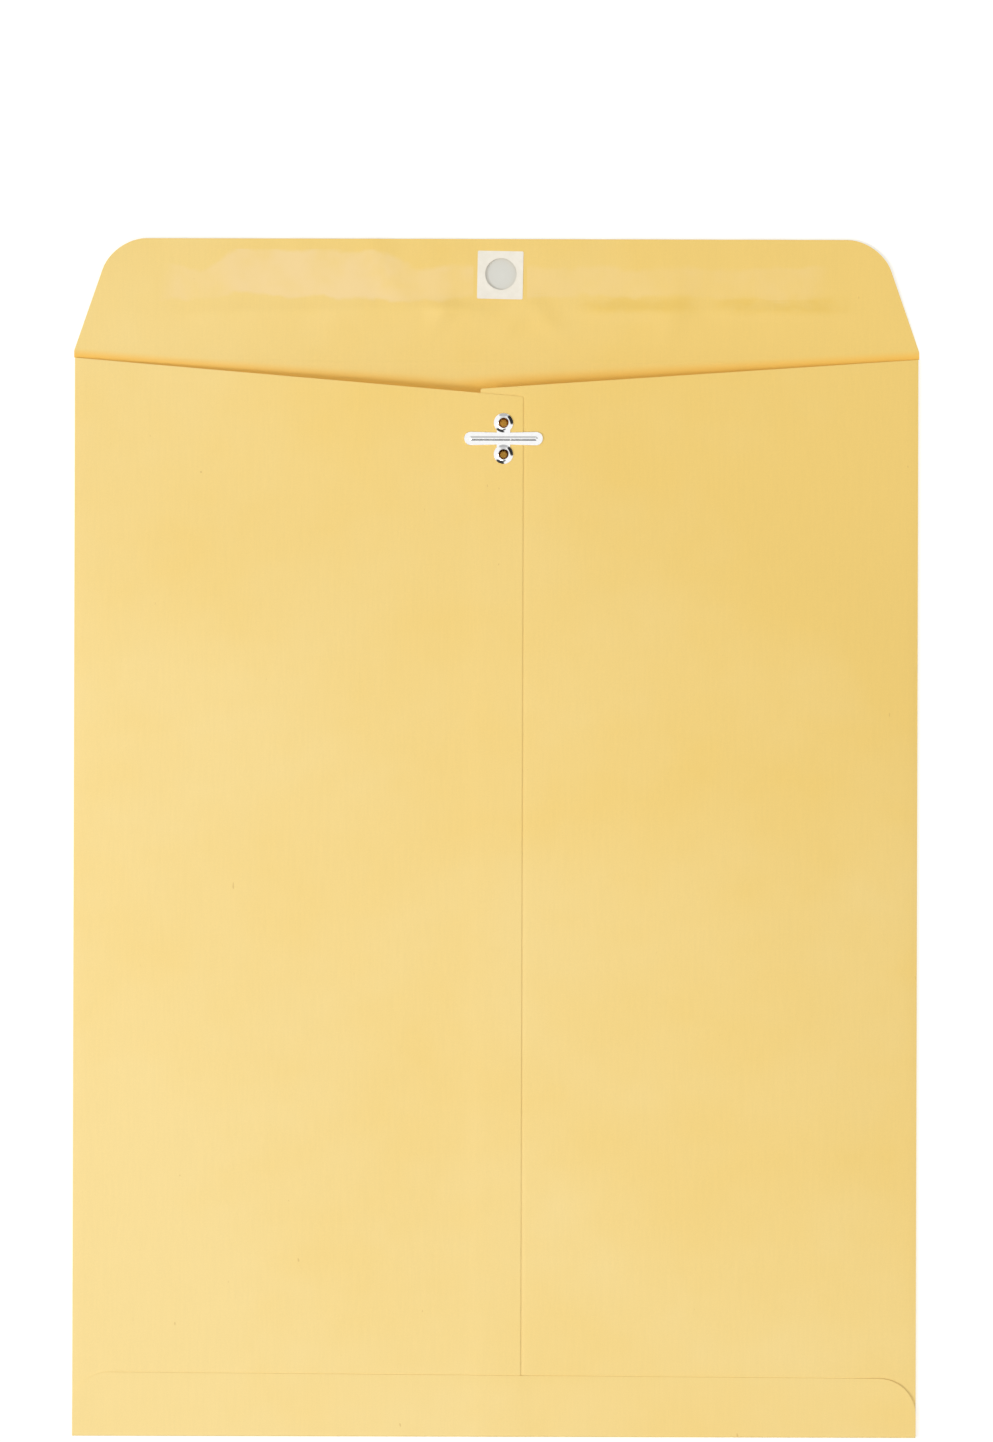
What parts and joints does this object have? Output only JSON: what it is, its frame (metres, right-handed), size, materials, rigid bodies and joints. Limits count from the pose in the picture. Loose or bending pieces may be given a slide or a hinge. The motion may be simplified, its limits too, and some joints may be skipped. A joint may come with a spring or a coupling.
{
  "type": "clasp envelope",
  "caption": "Kraft paper catalogue envelope with an open gummed flap, a reinforced hole in it, and a bright metal clasp whose prongs bend through the hole to close the pocket.",
  "frame": {"origin": "on the surface it lies on, under the middle of the open envelope's length and width", "axes": "+X to the right across the envelope, +Y from the bottom fold towards the flap, +Z out of the back"},
  "size_m": [0.254, 0.3598, 0.006],
  "materials": {
    "kraft_paper": "matt bleached brown kraft paper, faint long fibres",
    "seam_glue": "dried envelope glue, a thin film",
    "flap_gum": "dried remoistenable gum, a thin clear film with a slight sheen",
    "patch_paper": "off-white uncoated paper",
    "tin_plated_steel": "bright tin plate"
  },
  "bodies": {
    "envelope": {"front_panel": "kraft_paper", "left_back_panel": "kraft_paper", "right_back_panel": "kraft_paper", "bottom_flap": "kraft_paper", "centre_seam_glue": "seam_glue", "bottom_flap_glue": "seam_glue", "clasp_base": "tin_plated_steel"},
    "flap": {"closure_flap": "kraft_paper", "flap_gum_left": "flap_gum", "flap_gum_right": "flap_gum", "reinforcement_patch": "patch_paper"},
    "left_prong": {"clasp_left_prong": "tin_plated_steel"},
    "right_prong": {"clasp_right_prong": "tin_plated_steel"}
  },
  "joints": [
    {"name": "flap_fold", "type": "hinge", "parent": "envelope", "child": "flap", "pos_m": [0, 0.14405, 0.001], "axis": [1, 0, 0], "range_deg": [0, 158]},
    {"name": "left_prong_bend", "type": "hinge", "parent": "envelope", "child": "left_prong", "pos_m": [-0.0001, 0.11975, 0.00536], "axis": [0, 1, 0], "range_deg": [0, 90]},
    {"name": "right_prong_bend", "type": "hinge", "parent": "envelope", "child": "right_prong", "pos_m": [0.0043, 0.11975, 0.00536], "axis": [0, -1, 0], "range_deg": [0, 90]}
  ]
}
